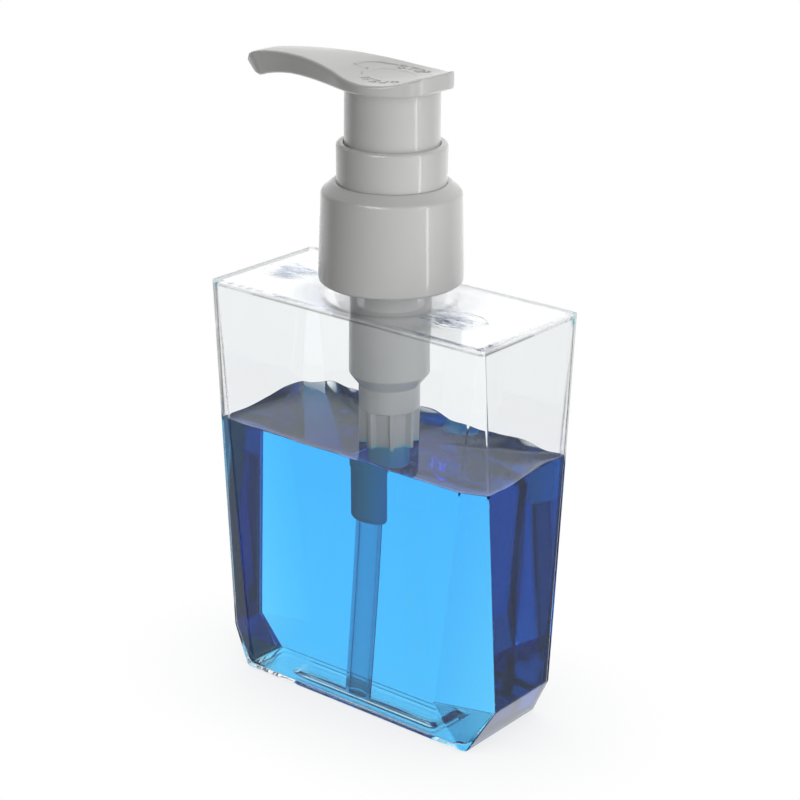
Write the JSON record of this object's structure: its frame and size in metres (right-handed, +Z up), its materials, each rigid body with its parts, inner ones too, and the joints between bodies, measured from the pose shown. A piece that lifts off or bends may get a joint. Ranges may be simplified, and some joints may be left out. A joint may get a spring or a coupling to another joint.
{
  "type": "soap pump dispenser",
  "caption": "Clear faceted flat bottle of liquid soap with a screw-on left-right lotion pump: press head with spout, lock sleeve, closure, spring piston, inlet ball and dip tube.",
  "frame": {"origin": "centre of the bottle's standing face", "axes": "+X to the bottle's right with the spout pointing along -X, -Y out of the wide front face, +Z up along the pump"},
  "size_m": [0.0806, 0.0352, 0.153],
  "materials": {
    "clear_pet": "clear, polished",
    "blue_soap": "clear liquid",
    "white_pp": "glossy, slightly translucent",
    "foam_gasket": "foam with a smooth skin",
    "natural_pe": "natural, milky clear",
    "spring_steel": "drawn wire",
    "ball_glass": "ground and polished",
    "seal_pe": "natural, satin"
  },
  "bodies": {
    "bottle": {"bottle": "clear_pet", "liquid_soap": "blue_soap"},
    "pump_body": {"lock_sleeve": "white_pp", "pump_housing": "white_pp", "gasket": "foam_gasket", "dip_tube": "natural_pe", "return_spring": "spring_steel"},
    "closure": {"closure_collar": "white_pp"},
    "plunger": {"stem": "white_pp", "valve_rod": "white_pp"},
    "head": {"actuator_head": "white_pp"},
    "seal": {"piston_seal": "seal_pe"},
    "ball": {"inlet_ball": "ball_glass"}
  },
  "joints": [
    {"name": "pump_rise", "type": "slide", "parent": "bottle", "child": "pump_body", "axis": [0, 0, 1], "range_m": [0, 0.00634]},
    {"name": "closure_turn", "type": "hinge", "parent": "pump_body", "child": "closure", "pos_m": [0, 0, 0.115], "axis": [0, 0, 1], "range_deg": [0, 540]},
    {"name": "press", "type": "slide", "parent": "pump_body", "child": "plunger", "axis": [0, 0, -1], "range_m": [0, 0.0105], "stiffness_N_per_m": 400, "springref_m": -0.008, "deforming": ["return_spring"]},
    {"name": "head_turn", "type": "hinge", "parent": "plunger", "child": "head", "pos_m": [0, 0, 0.14], "axis": [0, 0, 1], "range_deg": [0, 60]},
    {"name": "seal_lag", "type": "slide", "parent": "plunger", "child": "seal", "axis": [0, 0, 1], "range_m": [0, 0.0007]},
    {"name": "ball_lift", "type": "slide", "parent": "pump_body", "child": "ball", "axis": [0, 0, 1], "range_m": [0, 0.0025]}
  ],
  "couplings": [
    {"joint": "closure_turn", "follows": "pump_rise", "rad_per_m": 1484.3}
  ]
}
